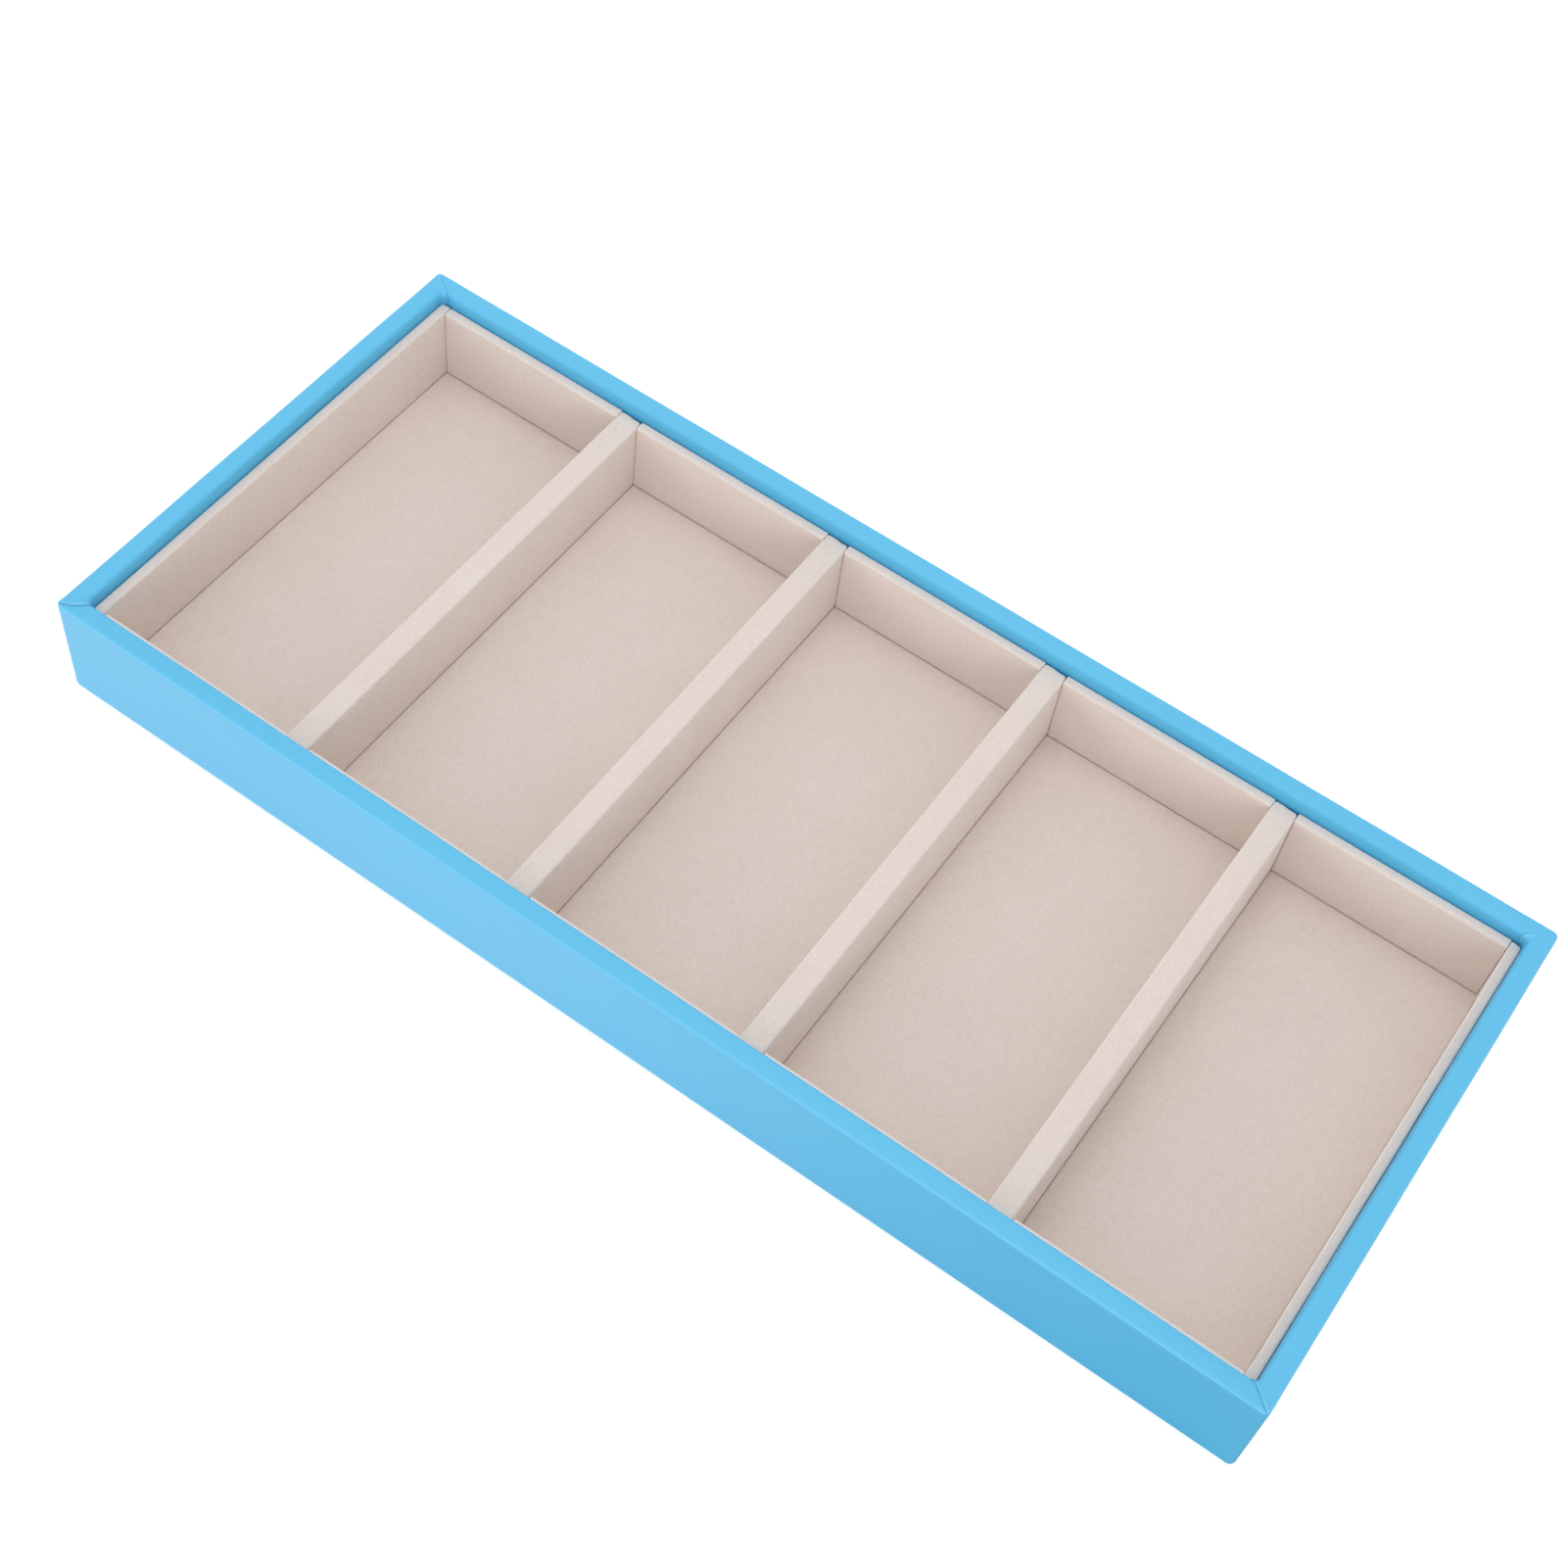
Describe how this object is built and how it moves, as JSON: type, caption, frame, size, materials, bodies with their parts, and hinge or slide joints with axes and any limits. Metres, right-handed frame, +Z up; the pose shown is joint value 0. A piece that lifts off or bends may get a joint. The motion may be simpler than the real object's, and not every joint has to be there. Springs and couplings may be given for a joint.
{
  "type": "glasses organizer tray",
  "caption": "Long shallow tray in wrapped leatherette with a velvet liner and lift-out dividers that make side-by-side compartments for glasses.",
  "frame": {"origin": "centre of the underside, on the surface that the tray stands on", "axes": "+X along the long side to the right, +Y from the front wall to the rear wall, +Z up out of the open top"},
  "size_m": [0.42, 0.181, 0.0415],
  "materials": {
    "leatherette": "smooth satin coated leatherette, sky blue",
    "velvet": "short-nap beige velvet",
    "fibreboard": "raw fibreboard",
    "grey_card": "raw grey card",
    "underside_paper": "matt black bonded underside sheet"
  },
  "bodies": {
    "tray": {"base_board": "fibreboard", "floor_card": "grey_card", "floor_velvet": "velvet", "front_leatherette": "leatherette", "front_pad_card_1": "grey_card", "front_pad_card_2": "grey_card", "front_pad_card_3": "grey_card", "front_pad_card_4": "grey_card", "front_pad_card_5": "grey_card", "front_pad_velvet_1": "velvet", "front_pad_velvet_2": "velvet", "front_pad_velvet_3": "velvet", "front_pad_velvet_4": "velvet", "front_pad_velvet_5": "velvet", "front_wall_board": "fibreboard", "left_leatherette": "leatherette", "left_pad_card": "grey_card", "left_pad_velvet": "velvet", "left_wall_board": "fibreboard", "rear_leatherette": "leatherette", "rear_pad_card_1": "grey_card", "rear_pad_card_2": "grey_card", "rear_pad_card_3": "grey_card", "rear_pad_card_4": "grey_card", "rear_pad_card_5": "grey_card", "rear_pad_velvet_1": "velvet", "rear_pad_velvet_2": "velvet", "rear_pad_velvet_3": "velvet", "rear_pad_velvet_4": "velvet", "rear_pad_velvet_5": "velvet", "rear_wall_board": "fibreboard", "right_leatherette": "leatherette", "right_pad_card": "grey_card", "right_pad_velvet": "velvet", "right_wall_board": "fibreboard", "underside_sheet": "underside_paper"},
    "divider_1": {"divider_core_1": "fibreboard", "divider_velvet_1": "velvet"},
    "divider_2": {"divider_core_2": "fibreboard", "divider_velvet_2": "velvet"},
    "divider_3": {"divider_core_3": "fibreboard", "divider_velvet_3": "velvet"},
    "divider_4": {"divider_core_4": "fibreboard", "divider_velvet_4": "velvet"}
  },
  "joints": [
    {"name": "divider_1_lift", "type": "slide", "parent": "tray", "child": "divider_1", "axis": [0, 0, 1], "range_m": [0, 0.037]},
    {"name": "divider_2_lift", "type": "slide", "parent": "tray", "child": "divider_2", "axis": [0, 0, 1], "range_m": [0, 0.037]},
    {"name": "divider_3_lift", "type": "slide", "parent": "tray", "child": "divider_3", "axis": [0, 0, 1], "range_m": [0, 0.037]},
    {"name": "divider_4_lift", "type": "slide", "parent": "tray", "child": "divider_4", "axis": [0, 0, 1], "range_m": [0, 0.037]}
  ]
}
